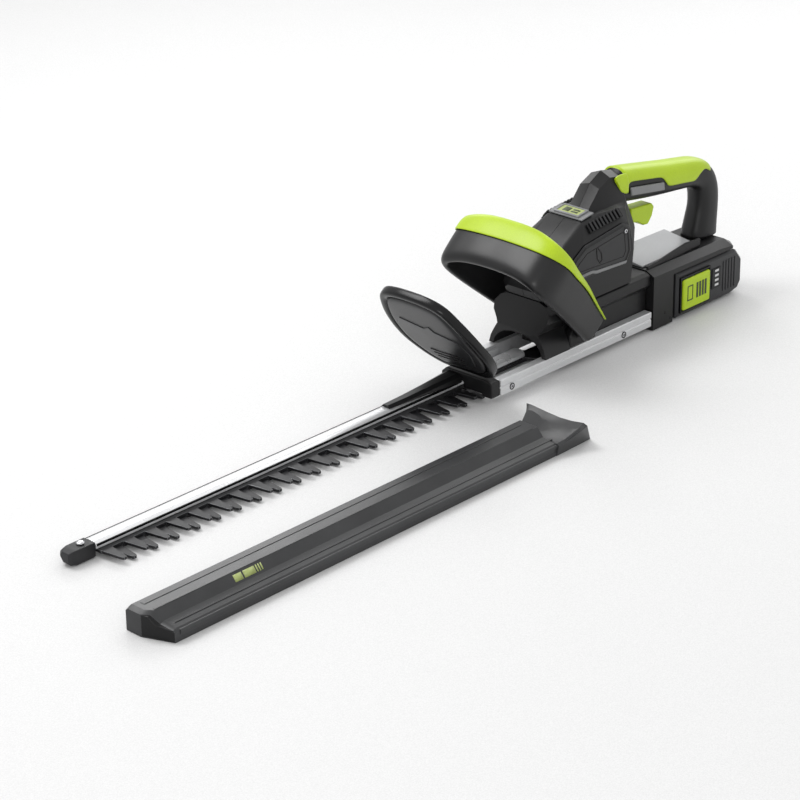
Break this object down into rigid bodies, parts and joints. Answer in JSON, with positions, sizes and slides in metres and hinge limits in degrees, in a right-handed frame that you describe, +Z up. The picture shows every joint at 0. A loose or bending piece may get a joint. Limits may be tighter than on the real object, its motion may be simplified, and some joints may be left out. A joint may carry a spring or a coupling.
{
  "type": "hedge trimmer",
  "caption": "Cordless hedge trimmer with a toothed reciprocating blade, hand guard, loop front handle, trigger handle, slide-in battery and separate blade cover.",
  "frame": {"origin": "centre of the bounding box's footprint, on the surface that the tool and its blade cover rest on", "axes": "+X from the handle towards the blade tip, +Y to the toothed side, +Z up"},
  "size_m": [1.006, 0.2542, 0.191],
  "materials": {
    "black_plastic": "fine satin texture",
    "grey_plastic": "fine satin texture",
    "light_plastic": "smooth satin",
    "green_plastic": "smooth, slightly glossy",
    "aluminium": "fine brushed, satin",
    "blade_steel": "dark ground steel",
    "bright_steel": "bright machined",
    "motor_steel": "rolled steel",
    "inner_plastic": "moulded",
    "circuit_board": "lacquered",
    "cell_wrap": "shrink wrap"
  },
  "bodies": {
    "frame": {"badge_plate": "green_plastic", "base_left": "black_plastic", "base_right": "black_plastic", "bay_left": "black_plastic", "bay_right": "black_plastic", "bearing_lower": "bright_steel", "bearing_upper": "bright_steel", "blade_bar": "aluminium", "blade_bolt_1": "bright_steel", "blade_bolt_2": "bright_steel", "blade_bolt_3": "bright_steel", "blade_bolt_4": "bright_steel", "controller_board": "circuit_board", "deck_fin": "black_plastic", "deck_plate": "light_plastic", "frame_arm_left": "aluminium", "frame_arm_right": "aluminium", "front_bracket": "black_plastic", "front_grip": "green_plastic", "front_handle": "black_plastic", "gear_case_bottom": "black_plastic", "gear_case_front": "black_plastic", "guard_panel": "black_plastic", "guard_shield": "black_plastic", "handle_boss_left": "black_plastic", "handle_boss_right": "black_plastic", "handle_shell_left": "black_plastic", "handle_shell_right": "black_plastic", "motor_can": "motor_steel", "motor_shell_left": "black_plastic", "motor_shell_right": "black_plastic", "rail_left": "aluminium", "rail_right": "aluminium", "rear_grip": "green_plastic", "root_cover": "black_plastic", "side_cover_left": "black_plastic", "side_cover_right": "black_plastic", "terminal_block": "black_plastic", "tip_guard": "blade_steel", "tip_screw": "bright_steel", "top_panel": "grey_plastic", "trigger_switch": "inner_plastic", "vent_grille_left": "black_plastic", "vent_grille_right": "black_plastic"},
    "upper_blade": {"upper_blade": "blade_steel"},
    "lower_blade": {"lower_blade": "blade_steel"},
    "rotor": {"rotor": "motor_steel", "motor_fan": "inner_plastic", "pinion": "bright_steel"},
    "crank": {"crank_gear": "bright_steel", "gear_shaft": "bright_steel", "eccentric": "bright_steel"},
    "trigger": {"trigger": "green_plastic"},
    "lock_off": {"lock_off_slider": "grey_plastic"},
    "battery": {"battery_case_left": "grey_plastic", "battery_case_right": "grey_plastic", "cell_pack": "cell_wrap", "charge_lights": "black_plastic"},
    "latch": {"latch_button": "green_plastic"},
    "scabbard": {"scabbard": "black_plastic"}
  },
  "joints": [
    {"name": "upper_blade_slide", "type": "slide", "parent": "frame", "child": "upper_blade", "axis": [1, 0, 0], "range_m": [-0.014, 0.002]},
    {"name": "lower_blade_slide", "type": "slide", "parent": "frame", "child": "lower_blade", "axis": [1, 0, 0], "range_m": [-0.002, 0.014]},
    {"name": "rotor_spin", "type": "hinge", "parent": "frame", "child": "rotor", "pos_m": [-0.25416, -0.05186, 0.068], "axis": [0, 0, 1], "continuous": true},
    {"name": "crank_spin", "type": "hinge", "parent": "frame", "child": "crank", "pos_m": [-0.22501, -0.05186, 0.02], "axis": [0, 0, 1], "continuous": true},
    {"name": "trigger_pull", "type": "hinge", "parent": "frame", "child": "trigger", "pos_m": [-0.338, -0.05186, 0.1355], "axis": [0, 1, 0], "range_deg": [0, 8], "stiffness_Nm_per_rad": 2},
    {"name": "lock_off_slide", "type": "slide", "parent": "frame", "child": "lock_off", "axis": [1, 0, 0], "range_m": [0, 0.004], "stiffness_N_per_m": 600},
    {"name": "battery_slide", "type": "slide", "parent": "frame", "child": "battery", "axis": [-1, 0, 0], "range_m": [0, 0.13]},
    {"name": "latch_press", "type": "slide", "parent": "battery", "child": "latch", "axis": [0, -1, 0], "range_m": [0, 0.0025], "stiffness_N_per_m": 1500},
    {"name": "scabbard_lift", "type": "slide", "parent": "frame", "child": "scabbard", "axis": [0, 0, 1], "range_m": [0, 0.2]}
  ],
  "couplings": [
    {"joint": "lower_blade_slide", "follows": "upper_blade_slide", "ratio": -1},
    {"joint": "crank_spin", "follows": "rotor_spin", "ratio": -0.26087}
  ]
}
